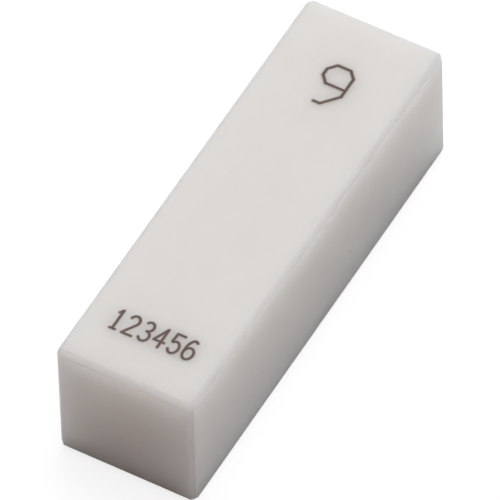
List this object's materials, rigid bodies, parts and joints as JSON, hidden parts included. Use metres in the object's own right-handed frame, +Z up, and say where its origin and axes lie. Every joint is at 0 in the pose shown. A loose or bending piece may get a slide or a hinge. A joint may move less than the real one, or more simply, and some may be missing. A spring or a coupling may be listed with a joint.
{
  "type": "gauge block",
  "caption": "Rectangular white ceramic gauge block with finely chamfered edges, ground side and end faces, and parallel lapped measuring faces.",
  "frame": {"origin": "middle of the bottom side face, which the block lies on", "axes": "+X along the 30 mm side of the cross-section, towards the end face that the nominal size is marked nearest to; Y is the measured length, with the left measuring face at +Y and the right one at -Y; +Z up, out of the side face that carries the marks"},
  "size_m": [0.03, 0.009, 0.0089],
  "materials": {
    "zirconia": "white zirconia, ground on the side and end faces and lapped on the measuring faces"
  },
  "bodies": {
    "root": {"gauge_block": "zirconia"}
  },
  "joints": []
}
